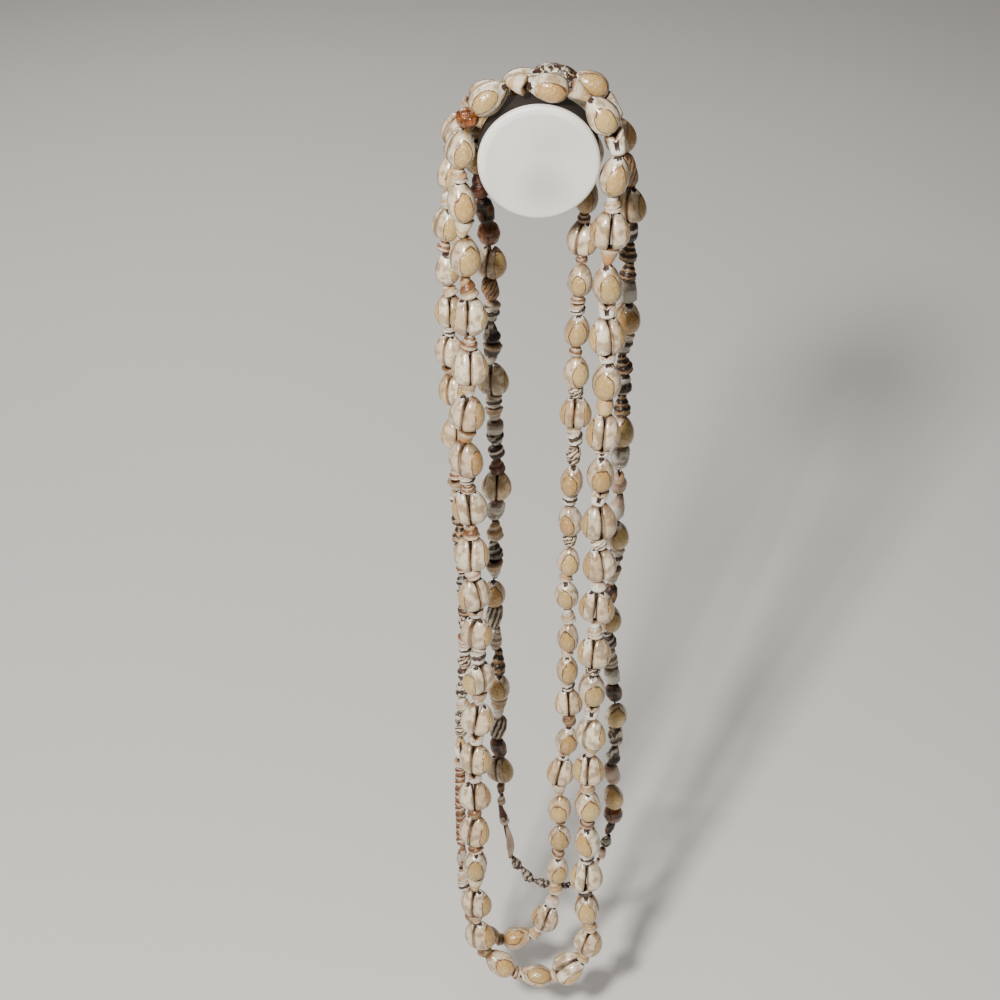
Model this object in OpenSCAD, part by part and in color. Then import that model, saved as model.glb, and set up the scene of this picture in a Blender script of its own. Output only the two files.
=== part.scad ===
// Cowrie shell necklace wound in three loops over a plain display peg.
// Frame: +X right, +Y back, +Z up, origin at the centre of the peg's back face.

/* [Peg] */
// Diameter of the round end disc
disc_d = 59.2; // [50:0.2:59.4]
// Thickness of the end disc, front to back
disc_t = 18; // [14:0.5:20]
// Radius of the rounded front edge of the disc
disc_edge_r = 2; // [1:0.5:5]
// Diameter of the rod behind the disc
rod_d = 35; // [30:0.5:35]
// Reach of the peg from its back face to the front of the disc
peg_reach = 62; // [60:1:80]

/* [Cowries] */
// Length of a cowrie on the front loop
cowrie_l = 21.6; // [19:0.2:22]
// Width of a cowrie on the front loop
cowrie_w = 15; // [12:0.5:15]
// Height of a cowrie on the front loop, belly to back
cowrie_h = 9.5; // [8:0.5:10]
// Size of a cowrie on the two rear loops against one on the front loop
rear_ratio = 0.9; // [0.8:0.02:0.92]
// Angle by which the lower ends of a pair stand apart, each shell
spread = 2; // [0:0.5:4]

/* [Stringing] */
// Diameter of the thread
thread_d = 1.2; // [0.8:0.1:1.4]
// Diameter of the hole through a spacer shell
drill_d = 1.8; // [1.6:0.1:2.4]
// Air left between neighbours on the thread
clearance = 0.2; // [0.1:0.05:0.3]
// Widest diameter of a spacer shell on the front loop
spacer_d = 7.6; // [5:0.2:8.4]
// Diameter of the strings of small shells
string_d = 7.6; // [6:0.2:9]
// Diameter of the thin string at the bottom of the rear loop
thin_string_d = 5.6; // [4:0.2:8]

/* [Loops] */
// Depth of the front loop's thread behind the face of the disc
front_depth = 7; // [6.5:0.5:7.5]
// Depth of the loop that hangs out to the left
left_depth = 32; // [31:0.5:33]
// Depth of the loop that hangs out to the right
right_depth = 49.5; // [49:0.5:50]

/* [Hidden] */

// Columns of a route: across and up, measured from the peg's axis
ACROSS = 0;
UP = 1;

// Route of the front loop, from its top down the left side and up the right side
front_route = [
    [4, 38], [-17, 37], [-34, 22.5], [-38.9, 2], [-38, -18.5], [-36, -53.5], [-34.5, -88],
    [-34, -116], [-36, -143], [-37, -172], [-34.5, -203], [-34, -233], [-32.5, -263],
    [-31, -293], [-30.5, -323], [-32, -353], [-33.5, -383], [-33.5, -428], [-33.5, -468],
    [-33, -503], [-29, -527], [-16, -543], [3, -551.5], [20, -547.5], [32.5, -534.5], [36.5, -513],
    [32.5, -485], [33, -440], [32, -400], [33.5, -360], [33, -325], [34, -280], [35, -240],
    [34, -200], [35, -155], [36, -120], [35, -90], [35, -55], [36.5, -20], [38.2, 2],
    [34.3, 18.8], [22, 32.5]
];

// Route of the loop that hangs out to the left, in the same order
left_route = [
    [-2, 25.7], [-20, 25.5], [-33, 17.5], [-41, 3], [-45, -19], [-44.5, -43], [-47.5, -68],
    [-43.5, -95], [-45.5, -118], [-43.5, -142], [-41.5, -168], [-42.5, -208], [-40, -253],
    [-38.5, -309], [-41, -367], [-42.5, -423], [-42, -460], [-41, -495], [-38, -520],
    [-31, -536], [-18, -544], [0, -541], [11, -524], [15, -500], [17, -470], [17.5, -445],
    [16.5, -422], [18, -398], [21.5, -372], [20.5, -347], [19.5, -320], [20, -297], [18, -270],
    [20, -247], [19, -220], [20.5, -194], [21.5, -160], [21, -130], [21, -100], [22.5, -72],
    [23, -48], [26, -22], [26, 0], [21, 16], [11.8, 24.1]
];

// Route of the loop that hangs out to the right, in the same order, from its large top cowrie
right_route = [
    [27, 22], [15.5, 26], [4, 26.5], [-8, 25.2], [-18.7, 17.9], [-27, 5], [-31, -11],
    [-30.5, -29], [-27, -45], [-24.5, -60], [-23.5, -75], [-24, -95], [-23.5, -120], [-23, -144], [-22, -165],
    [-22, -190], [-20, -212], [-22.5, -240], [-23, -262], [-22, -284], [-23, -310],
    [-21.5, -335], [-18.5, -352], [-21, -380], [-20, -405], [-18.5, -425], [-17.5, -450],
    [-15, -475], [-8, -498], [4, -511], [20, -515], [34, -507], [44, -489], [48.5, -467],
    [51, -443], [45.5, -413], [50.5, -382], [46, -350], [43, -310], [44, -280], [47, -249],
    [43.5, -215], [48, -180], [43.5, -145], [48.5, -109], [46, -78], [48, -45], [45.5, -23],
    [41, -5], [34.5, 11.5]
];

// Columns of a chart: shells in the cluster, turn of the cluster round the thread (0 side by side,
// 90 one before the other), length of what follows it on the thread, and its form
SHELLS = 0;
SPIN = 1;
GAP = 2;
FORM = 3;
// Forms of what follows a cluster
BARE = 0;
BARREL = 1;
WHORL = 2;
CUT = 3;
AMBER = 4;
SMALL_SHELLS = 5;
FINE = 6;

// Chart of the front loop, from its top cluster down the left side and up the right side
front_chart = [
    [1, 98, 8, WHORL], [2, 118, 9, AMBER], [2, 68, 6, WHORL], [2, 84, 8, CUT],
    [2, 78, 12, WHORL], [2, 4, 7, WHORL], [2, -6, 6, WHORL], [2, 20, 6, WHORL],
    [2, 30, 8, BARREL], [2, 0, 8, WHORL], [2, 6, 5, BARREL], [2, -30, 4, BARREL],
    [2, 35, 10, WHORL], [2, -35, 7, CUT], [2, 12, 7, CUT], [2, 18, 6, CUT],
    [2, 0, 5, WHORL], [2, 30, 4, BARREL], [2, 88, 9, BARREL], [2, 20, 5, BARREL],
    [2, 30, 6, WHORL], [2, 62, 4, BARREL], [1, 62, 3, CUT],
    [2, 58, 4, BARREL], [2, 30, 7, WHORL], [2, 88, 4, BARREL], [2, 0, 7, BARREL],
    [2, 90, 5, CUT], [2, 78, 4, BARREL], [2, 10, 5, CUT], [2, 40, 10, WHORL],
    [2, 90, 4, WHORL], [2, 10, 9, CUT], [2, 10, 6, WHORL], [2, -20, 6, CUT],
    [2, -15, 9, CUT], [1, 90, 3, BARREL], [2, 0, 9, CUT], [2, 84, 4, CUT],
    [2, -20, 8, BARREL], [2, 84, 7, WHORL], [2, 0, 8, CUT], [2, 100, 12, CUT], [1, 92, 9, WHORL]
];

// Chart of the loop that hangs out to the left
left_chart = [
    [2, 90, 4, BARE], [2, 60, 6, BARE], [2, 60, 3, BARE], [1, 60, 9, WHORL],
    [2, 65, 5, BARE], [1, 60, 6, WHORL], [2, 0, 4, BARE], [2, 30, 4, BARE],
    [2, 30, 7, WHORL], [2, 0, 360, FINE], [1, 90, 4, BARE], [2, 115, 8, BARREL],
    [2, 10, 23, SMALL_SHELLS], [1, 90, 7, BARREL], [1, 80, 3, BARE], [1, 90, 8, BARREL],
    [2, 20, 6, WHORL], [1, 80, 7, WHORL], [2, 0, 6, WHORL], [1, 90, 3, BARE],
    [1, 80, 10, WHORL], [1, 90, 3, BARE], [1, 80, 8, WHORL], [1, 90, 6, BARREL],
    [1, 90, 23, SMALL_SHELLS], [2, 10, 6, WHORL], [1, 85, 5, BARE], [1, 90, 10, BARREL],
    [1, 80, 3, BARE], [2, 30, 5, BARE], [1, 100, 5, BARE], [2, 80, 5, BARE], [1, 90, 5, BARE]
];

// Chart of the loop that hangs out to the right
right_chart = [
    [2, 60, 18, SMALL_SHELLS], [1, 95, 5, BARE], [2, 70, 5, BARE], [1, 80, 28, SMALL_SHELLS],
    [0, 0, 13, AMBER], [2, 20, 50, SMALL_SHELLS], [2, 10, 48, SMALL_SHELLS],
    [2, 0, 52, SMALL_SHELLS], [1, 90, 48, SMALL_SHELLS], [1, 90, 44, SMALL_SHELLS],
    [2, 20, 170, FINE], [0, 0, 12, AMBER], [1, 90, 44, SMALL_SHELLS], [1, 80, 51, SMALL_SHELLS],
    [2, 50, 38, SMALL_SHELLS], [1, 80, 49, SMALL_SHELLS], [1, 90, 50, SMALL_SHELLS],
    [2, 70, 45, SMALL_SHELLS], [2, 20, 19, SMALL_SHELLS], [2, 30, 13, CUT]
];

// Stations along a cowrie from its upper end: place as a part of the length, girth as a part of the widest
front_stations = [[0.1, 0.56], [0.34, 0.92], [0.62, 1], [0.88, 0.66]];
rear_stations = [[0.17, 0.72], [0.54, 1], [0.85, 0.72]];
STATION_PLACE = 0;
STATION_GIRTH = 1;

shell_gap = clearance;
groove_h = 0.8;
thread_r = thread_d / 2;
thread_sides = 6;
string_sides = 8;
drill_sides = 32;
samples = 8;

// Smooth curve through four neighbours, t from 0 to 1 between the middle two
function curve(a, b, c, d, t) =
    0.5 * (2 * b + (c - a) * t + (2 * a - 5 * b + 4 * c - d) * t * t + (3 * b - a - 3 * c + d) * t * t * t);

// Closed smooth line through all points of a route, its last point repeating the first
function smooth_line(route) =
    let (n = len(route))
    [for (i = [0:n - 1]) for (k = [0:samples - 1])
        curve(route[(i + n - 1) % n], route[i], route[(i + 1) % n], route[(i + 2) % n], k / samples),
     route[0]];

// Length along a line up to each of its points
function lengths(line) =
    [for (i = 0, s = 0; i < len(line);
          i = i + 1, s = s + (i < len(line) ? norm(line[i] - line[i - 1]) : 0)) s];

// A loop is its depth, its two lookup tables of place against length, its whole length and its chart
function make_loop(depth, route, chart) =
    let (line = smooth_line(route), s = lengths(line), last = len(line) - 1)
    [depth - peg_reach,
     [for (i = [0:last]) [s[i], line[i][ACROSS]]],
     [for (i = [0:last]) [s[i], line[i][UP]]],
     s[last],
     chart];

// Point of a loop at a length along it
function at(loop, s) =
    let (m = s - loop[3] * floor(s / loop[3]))
    [lookup(m, loop[1]), loop[0], lookup(m, loop[2])];

// Sum of a list
function sum(v) = v * [for (x = v) 1];

// Lengths that the clusters take on the thread: a row with no cowries takes none
function chords(chart, chord) = [for (row = chart) row[SHELLS] > 0 ? chord : 0];

// Start of each row along a loop: the gaps share what the clusters leave of the loop
function starts(loop, chord) =
    let (chart = loop[4], gaps = [for (row = chart) row[GAP]], taken = chords(chart, chord),
         share = (loop[3] - sum(taken)) / sum(gaps))
    [for (i = 0, s = -chord / 2; i <= len(chart);
          i = i + 1, s = s + (i <= len(chart) ? taken[i - 1] + gaps[i - 1] * share : 0)) s];

front_loop = make_loop(front_depth, front_route, front_chart);
left_loop = make_loop(left_depth, left_route, left_chart);
right_loop = make_loop(right_depth, right_route, right_chart);

front_size = [cowrie_l, cowrie_w, cowrie_h];
rear_size = front_size * rear_ratio;
front_chord = cowrie_l + 2 * clearance;
rear_chord = cowrie_l * rear_ratio + 2 * clearance;
front_starts = starts(front_loop, front_chord);
left_starts = starts(left_loop, rear_chord);
right_starts = starts(right_loop, rear_chord);

// Places where the thread bends, so that each cluster and spacer sits on a straight stretch
fine_step = 18;
function bends(loop, begin, chord) =
    let (taken = chords(loop[4], chord))
    [for (i = [0:len(loop[4]) - 1])
        let (leave = begin[i] + taken[i], gap = begin[i + 1] - leave,
             parts = loop[4][i][FORM] == FINE ? ceil(gap / fine_step) : 1)
        each concat(taken[i] > 0 ? [begin[i]] : [], [for (k = [0:parts - 1]) leave + gap * k / parts])];

// One ring of points round a line at its middle point b, square to both of its stretches
function ring(a, b, c, r, sides) =
    let (u = (b - a) / norm(b - a), v = (c - b) / norm(c - b), mid = (u + v) / norm(u + v),
         side = [mid[2], 0, -mid[0]], reach = r / (mid * u))
    [for (k = [0:sides - 1]) b + side * reach * cos(360 * k / sides) + [0, r * sin(360 * k / sides), 0]];

// Two triangles of the strip between ring p and ring q, at side k
function strip(p, q, k, sides) =
    let (n = (k + 1) % sides)
    [[p + k, q + k, q + n], [p + k, q + n, p + n]];

// Closed thread through the points of a line
module closed_thread(line) {
    n = len(line);
    points = [for (i = [0:n - 1])
        each ring(line[(i + n - 1) % n], line[i], line[(i + 1) % n], thread_r, thread_sides)];
    faces = [for (i = [0:n - 1]) for (k = [0:thread_sides - 1])
        each strip(i * thread_sides, ((i + 1) % n) * thread_sides, k, thread_sides)];
    polyhedron(points, faces);
}

// Hollow string of small shells round the thread, open at both ends for the thread
module hollow_string(line, outer_r, inner_r) {
    n = len(line) - 2;
    function rings(r) = [for (i = [1:n]) each ring(line[i - 1], line[i], line[i + 1], r, string_sides)];
    inner = n * string_sides;
    last = (n - 1) * string_sides;
    outer_faces = [for (i = [0:n - 2]) for (k = [0:string_sides - 1])
        each strip(i * string_sides, (i + 1) * string_sides, k, string_sides)];
    inner_faces = [for (i = [0:n - 2]) for (k = [0:string_sides - 1])
        each strip(inner + (i + 1) * string_sides, inner + i * string_sides, k, string_sides)];
    first_end = [for (k = [0:string_sides - 1]) each strip(inner, 0, k, string_sides)];
    last_end = [for (k = [0:string_sides - 1]) each strip(last, inner + last, k, string_sides)];
    polyhedron(concat(rings(outer_r), rings(inner_r)), concat(outer_faces, inner_faces, first_end, last_end));
}

// Section of a cowrie: a grooved belly and a round back, across and up as parts of width and height
belly = [[-0.3, 0], [0, groove_h], [0.3, 0]];
back = [for (a = [0:30:180]) [0.5 * cos(a), 0.28 + 0.72 * sin(a)]];
section_sides = len(belly) + len(back);

// Points of one cowrie lying on the thread: along runs to its lower end, out to its back
function cowrie_points(middle, along, out, size, stations) =
    let (side = cross(out, along),
         tip_h = size[2] * 0.3,
         lift = function (part) shell_gap / 2 + part * size[0] * tan(spread),
         place = function (part, across, up)
             middle + along * (part - 0.5) * size[0] + side * across + out * (up + lift(part)))
    concat(
        [place(0, 0, tip_h)],
        [for (s = stations) each concat(
            [for (p = belly) place(s[STATION_PLACE], p[0] * size[1] * s[STATION_GIRTH],
                p[1] + (1 - s[STATION_GIRTH]) * size[2] * 0.1)],
            [for (p = back) place(s[STATION_PLACE], p[0] * size[1] * s[STATION_GIRTH],
                p[1] * size[2] * s[STATION_GIRTH] + (1 - s[STATION_GIRTH]) * size[2] * 0.14)])],
        [place(1, 0, tip_h)]);

// Faces of one cowrie whose first point is number base
function cowrie_faces(base, stations) =
    let (n = section_sides, rings = len(stations), last = base + 1 + (rings - 1) * n, tip = base + 1 + rings * n)
    concat(
        [for (k = [0:n - 1]) [base, base + 1 + k, base + 1 + (k + 1) % n]],
        [for (i = [0:rings - 2]) for (k = [0:n - 1]) each strip(base + 1 + i * n, base + 1 + (i + 1) * n, k, n)],
        [for (k = [0:n - 1]) [tip, last + (k + 1) % n, last + k]]);

// All cowries of a loop, one or two to a cluster
module cowries(loop, begin, chord, size, stations) {
    clusters = [for (i = [0:len(loop[4]) - 1]) for (k = [0:1]) if (k < loop[4][i][SHELLS])
        let (a = at(loop, begin[i]), b = at(loop, begin[i] + chord),
             run = (b - a) / norm(b - a),
             along = run[2] > 0 ? -run : run,
             flat = cross(along, [0, 1, 0]),
             turn = loop[4][i][SPIN] + 180 * k,
             out = flat * cos(turn) - [0, 1, 0] * sin(turn))
        cowrie_points((a + b) / 2, along, out, size, stations)];
    count = len(clusters[0]);
    polyhedron(
        [for (c = clusters) each c],
        [for (i = [0:len(clusters) - 1]) each cowrie_faces(i * count, stations)]);
}

// A drilled shell turned on the thread: radius against length in steps, as parts of both
barrel_form = [[0, 0.5], [0.3, 0.95], [0.7, 0.95], [1, 0.5]];
whorl_form = [[0, 0.4], [0.2, 0.7], [0.7, 1], [1, 0.55]];
cut_form = [[0, 0.55], [0.25, 0.55], [0.4, 0.9], [0.8, 0.9], [1, 0.45]];
amber_form = [[0, 0.5], [0.15, 0.82], [0.4, 1], [0.6, 1], [0.85, 0.82], [1, 0.5]];
small_form = [[0, 0.4], [0.6, 1], [0.85, 0.8]];
small_shell_l = 14;

function forms(form) =
    form == BARREL ? barrel_form : form == WHORL ? whorl_form : form == CUT ? cut_form : amber_form;

// Outline of a row of small shells, repeated to fill the length
function small_row(length) =
    let (n = max(1, round(length / small_shell_l)))
    concat([for (i = [0:n - 1]) for (p = small_form) [(i + p[0]) / n, p[1]]], [[1, 0.45]]);

// One turned and drilled solid between two points of the thread
module turned(a, b, outline, radius) {
    length = norm(b - a) - 2 * clearance;
    run = (b - a) / norm(b - a);
    tilt = atan2(run[0], run[2]);
    translate(a + run * clearance)
        rotate([0, tilt, 0])
            rotate_extrude($fn = drill_sides)
                polygon(concat(
                    [[drill_d / 2, 0]],
                    [for (p = outline) [p[1] * radius, p[0] * length]],
                    [[drill_d / 2, length]]));
}

// Solids of the given forms that follow the clusters of a loop
module spacers(loop, begin, chord, wanted, radius) {
    taken = chords(loop[4], chord);
    for (i = [0:len(loop[4]) - 1]) {
        form = loop[4][i][FORM];
        a = at(loop, begin[i] + taken[i]);
        b = at(loop, begin[i + 1]);
        if (len([for (w = wanted) if (w == form) w]) > 0)
            turned(a, b, form == SMALL_SHELLS ? small_row(norm(b - a)) : forms(form), radius);
    }
}

// The stretch of fine string that follows a cluster of form FINE
module fine_string(loop, begin, chord, radius) {
    for (i = [0:len(loop[4]) - 1])
        if (loop[4][i][FORM] == FINE) {
            leave = begin[i] + chord;
            gap = begin[i + 1] - leave;
            parts = ceil(gap / fine_step);
            tip = clearance + 0.1;
            line = concat(
                [at(loop, leave - 1), at(loop, leave + tip)],
                [for (k = [1:parts - 1]) at(loop, leave + gap * k / parts)],
                [at(loop, leave + gap - tip), at(loop, leave + gap + 1)]);
            hollow_string(line, radius, drill_d / 2);
        }
}

module display_peg() {
    color("white")
        rotate([90, 0, 0]) {
            cylinder(d = rod_d, h = peg_reach - disc_t, $fn = 96);
            translate([0, 0, peg_reach - disc_t])
                rotate_extrude($fn = 96) {
                    square([disc_d / 2 - disc_edge_r, disc_t]);
                    square([disc_d / 2, disc_t - disc_edge_r]);
                    translate([disc_d / 2 - disc_edge_r, disc_t - disc_edge_r])
                        circle(r = disc_edge_r, $fn = 48);
                }
        }
}

module front_thread() {
    color("tan")
        closed_thread([for (s = bends(front_loop, front_starts, front_chord)) at(front_loop, s)]);
}

module front_cowries() {
    color("antiquewhite")
        cowries(front_loop, front_starts, front_chord, front_size, front_stations);
}

module front_spacers() {
    color("burlywood")
        spacers(front_loop, front_starts, front_chord, [BARREL, WHORL, CUT], spacer_d / 2);
}

module left_thread() {
    color("tan")
        closed_thread([for (s = bends(left_loop, left_starts, rear_chord)) at(left_loop, s)]);
}

module left_cowries() {
    color("antiquewhite")
        cowries(left_loop, left_starts, rear_chord, rear_size, rear_stations);
}

module left_spacers() {
    color("burlywood")
        spacers(left_loop, left_starts, rear_chord, [BARREL, WHORL, SMALL_SHELLS], spacer_d * rear_ratio / 2);
}

module left_fine_string() {
    color("sienna")
        fine_string(left_loop, left_starts, rear_chord, string_d / 2);
}

module right_thread() {
    color("tan")
        closed_thread([for (s = bends(right_loop, right_starts, rear_chord)) at(right_loop, s)]);
}

module right_cowries() {
    color("antiquewhite")
        cowries(right_loop, right_starts, rear_chord, rear_size, rear_stations);
}

module right_shells() {
    color("rosybrown")
        spacers(right_loop, right_starts, rear_chord, [CUT, SMALL_SHELLS], string_d / 2);
}

module right_fine_string() {
    color("sienna")
        fine_string(right_loop, right_starts, rear_chord, thin_string_d / 2);
}

module amber_beads() {
    color("darkorange") {
        spacers(front_loop, front_starts, front_chord, [AMBER], spacer_d / 2);
        spacers(right_loop, right_starts, rear_chord, [AMBER], string_d / 2);
    }
}

display_peg();
front_thread();
front_cowries();
front_spacers();
left_thread();
left_cowries();
left_spacers();
left_fine_string();
right_thread();
right_cowries();
right_shells();
right_fine_string();
amber_beads();
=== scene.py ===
# Cowrie shell necklace, wound in three loops over a plain display peg.
import math
import bpy
import numpy as np
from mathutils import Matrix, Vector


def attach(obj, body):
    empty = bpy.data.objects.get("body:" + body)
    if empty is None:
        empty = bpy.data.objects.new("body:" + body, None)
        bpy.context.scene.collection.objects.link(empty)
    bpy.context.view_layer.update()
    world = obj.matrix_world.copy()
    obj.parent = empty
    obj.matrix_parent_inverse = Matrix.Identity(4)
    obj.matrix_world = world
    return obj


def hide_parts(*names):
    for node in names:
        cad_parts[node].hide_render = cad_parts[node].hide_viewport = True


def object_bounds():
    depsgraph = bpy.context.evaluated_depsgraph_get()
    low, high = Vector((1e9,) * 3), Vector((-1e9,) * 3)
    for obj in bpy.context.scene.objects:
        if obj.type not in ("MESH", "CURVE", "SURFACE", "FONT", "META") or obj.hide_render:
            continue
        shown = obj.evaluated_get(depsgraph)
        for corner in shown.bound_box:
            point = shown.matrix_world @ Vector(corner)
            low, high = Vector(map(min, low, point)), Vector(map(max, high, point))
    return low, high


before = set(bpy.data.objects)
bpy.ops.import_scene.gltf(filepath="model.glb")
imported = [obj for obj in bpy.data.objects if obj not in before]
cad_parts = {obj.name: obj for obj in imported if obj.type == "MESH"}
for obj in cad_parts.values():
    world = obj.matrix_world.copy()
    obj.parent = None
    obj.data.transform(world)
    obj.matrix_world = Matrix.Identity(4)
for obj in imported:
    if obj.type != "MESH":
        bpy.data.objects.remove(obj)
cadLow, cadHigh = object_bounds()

mm = 0.001
clearance = 0.2          # air between neighbours on the thread, mm
pegReach = 62.0          # from the fixing to the face of the disc, mm
drill = 0.9              # radius of the hole through a small shell, mm
toBack = np.array([0.0, 1.0, 0.0])


def tone(r, g, b):
    # a colour as seen on a screen, 0 to 255, made linear
    c = np.array([r, g, b]) / 255.0
    return tuple(np.where(c < 0.04045, c / 12.92, ((c + 0.055) / 1.055) ** 2.4)) + (1.0,)


colours = {
    "white": tone(238, 232, 220), "cream": tone(226, 210, 184), "tan": tone(196, 160, 116),
    "brown": tone(128, 84, 52), "redBrown": tone(104, 50, 32), "dark": tone(56, 38, 29),
    "black": tone(30, 24, 22), "olive": tone(150, 132, 92), "pink": tone(222, 188, 168),
    "orange": tone(208, 148, 88), "grey": tone(176, 168, 154), "yellow": tone(208, 184, 128),
}


# camera and lights
cameraSetup = {"place": (-0.01875, -1.045, 0.455), "pitch": 33.4, "lens": 80.35, "sensor": 36.0,
               "reach": 20.0}
lightSetup = {
    "key": {"place": (-0.42, -1.1, 0.78), "aim": (0.0, -0.05, -0.18), "size": 0.16, "power": 39.0,
            "colour": (1.0, 0.96, 0.9)},
    "top": {"place": (-0.15, -0.55, 1.15), "aim": (0.0, -0.05, -0.1), "size": 0.5, "power": 3.0,
            "colour": (1.0, 0.97, 0.93)},
    "back": {"place": (-0.5, 1.3, 0.8), "aim": (0.0, 0.0, -0.25), "size": 1.0, "power": 16.0,
             "colour": (1.0, 0.98, 0.95)},
}
worldSetup = {"colour": (1.0, 0.96, 0.9, 1.0), "strength": 0.09}


def aimAt(obj, target):
    way = np.array(target) - np.array(obj.location)
    flat = math.hypot(way[0], way[1])
    obj.rotation_euler = (math.atan2(flat, -way[2]), 0.0, math.atan2(-way[0], way[1]))


def makeCamera():
    data = bpy.data.cameras.new("photoCamera")
    data.lens = cameraSetup["lens"]
    data.sensor_width = cameraSetup["sensor"]
    data.clip_end = cameraSetup["reach"]
    camera = bpy.data.objects.new("photoCamera", data)
    camera.location = cameraSetup["place"]
    camera.rotation_euler = (math.radians(90.0 - cameraSetup["pitch"]), 0.0, 0.0)
    bpy.context.collection.objects.link(camera)
    bpy.context.scene.camera = camera


def makeLights():
    for name, setup in lightSetup.items():
        data = bpy.data.lights.new(name + "Light", "AREA")
        data.energy = setup["power"]
        data.size = setup["size"]
        data.color = setup["colour"]
        lamp = bpy.data.objects.new(name + "Light", data)
        lamp.location = setup["place"]
        bpy.context.collection.objects.link(lamp)
        aimAt(lamp, setup["aim"])
    world = bpy.data.worlds.new("softRoom")
    world.use_nodes = True
    background = world.node_tree.nodes["Background"]
    background.inputs["Color"].default_value = worldSetup["colour"]
    background.inputs["Strength"].default_value = worldSetup["strength"]
    bpy.context.scene.world = world


makeCamera()
makeLights()
print("camera and lights are set")


# nodes of the materials
def addNode(tree, kind, inputs=None, **settings):
    made = tree.nodes.new(kind)
    for key, value in settings.items():
        setattr(made, key, value)
    for key, value in (inputs or {}).items():
        if isinstance(value, bpy.types.NodeSocket):
            tree.links.new(value, made.inputs[key])
        else:
            made.inputs[key].default_value = value
    return made


def calc(tree, operation, a, b=0.0, clamp=False):
    return addNode(tree, "ShaderNodeMath", {0: a, 1: b}, operation=operation, use_clamp=clamp).outputs[0]


def plus(tree, a, b):
    return calc(tree, "ADD", a, b)


def minus(tree, a, b):
    return calc(tree, "SUBTRACT", a, b)


def times(tree, a, b):
    return calc(tree, "MULTIPLY", a, b)


def over(tree, a, b):
    return calc(tree, "DIVIDE", a, b)


def apart(tree, a, b):
    return calc(tree, "ABSOLUTE", minus(tree, a, b))


def swing(tree, value, amount):
    # noise, which lies round a half, made to lie round nought and scaled
    return times(tree, minus(tree, value, 0.5), amount)


def waves(tree, value, perUnit):
    return calc(tree, "SINE", times(tree, value, 2.0 * math.pi * perUnit))


def vectorCalc(tree, operation, a, b=(0.0, 0.0, 0.0), output=0):
    return addNode(tree, "ShaderNodeVectorMath", {0: a, 1: b}, operation=operation).outputs[output]


def ramp(tree, value, low, high, start=0.0, end=1.0):
    # start below low, end above high, eased between
    made = addNode(tree, "ShaderNodeMapRange", {0: value, 1: low, 2: high, 3: start, 4: end},
                   interpolation_type="SMOOTHSTEP")
    return made.outputs[0]


def blendColour(tree, factor, a, b, mode="MIX"):
    made = addNode(tree, "ShaderNodeMix", {0: factor, 6: a, 7: b}, data_type="RGBA", blend_type=mode)
    return made.outputs[2]


def tint(tree, base, colour, value, low, high, start=0.0, end=1.0):
    # colour over base, as strong as the ramp of the value says
    return blendColour(tree, ramp(tree, value, low, high, start, end), base, colour)


def readAttribute(tree, name):
    return addNode(tree, "ShaderNodeAttribute", attribute_name=name).outputs


def objectPlace(tree):
    return addNode(tree, "ShaderNodeTexCoord").outputs["Object"]


def split(tree, vector):
    return addNode(tree, "ShaderNodeSeparateXYZ", {0: vector}).outputs


def join(tree, parts):
    return addNode(tree, "ShaderNodeCombineXYZ", parts).outputs[0]


def noise(tree, vector, scale, detail=2.0, rough=0.5):
    made = addNode(tree, "ShaderNodeTexNoise",
                   {"Vector": vector, "Scale": scale, "Detail": detail, "Roughness": rough})
    return made.outputs["Fac"]


def newMaterial(name, rough, coat=0.0, coatRough=0.1, specular=0.5):
    made = bpy.data.materials.new(name)
    made.use_nodes = True
    tree = made.node_tree
    shader = tree.nodes["Principled BSDF"]
    shader.inputs["Roughness"].default_value = rough
    shader.inputs["Coat Weight"].default_value = coat
    shader.inputs["Coat Roughness"].default_value = coatRough
    shader.inputs["Specular IOR Level"].default_value = specular
    return made, tree, shader


def setColour(tree, shader, colour):
    tree.links.new(colour, shader.inputs["Base Color"])


def setRough(tree, shader, rough):
    tree.links.new(rough, shader.inputs["Roughness"])


def setBump(tree, shader, height, strength, distance):
    bump = addNode(tree, "ShaderNodeBump", {"Height": height, "Strength": strength, "Distance": distance})
    tree.links.new(bump.outputs[0], shader.inputs["Normal"])


# lengths in mm on a shell of the size ownSize; grains are the scales of the noise
ownSize = (21.6, 15.0, 11.0)
cowrieFinish = {
    "flank": tone(244, 234, 210), "warmFlank": tone(206, 168, 120), "greyFlank": tone(154, 132, 102),
    "patch": tone(200, 172, 112), "orangePatch": tone(194, 142, 76), "ring": tone(104, 72, 40),
    "hole": tone(54, 33, 20), "slitShade": tone(48, 30, 19), "stainAndShade": tone(122, 86, 54),
    "rim": tone(250, 244, 230), "shade": 0.28,
    "patchLong": 8.2, "patchWide": 0.64, "ringWide": 0.085, "patchAxis": 1.3,
    "girthMiddle": 12.6, "girthReach": 13.0, "toothStep": 1.5, "holeSquash": (0.62, 1.1, 0.9),
    "cloudGrain": 0.2, "ringGrain": 0.22, "blotchGrain": 0.55, "jagGrain": 0.8, "fineGrain": 1.6,
    "speckGrain": 2.6, "seedStep": 90.0, "bump": 0.0005,
}


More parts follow.
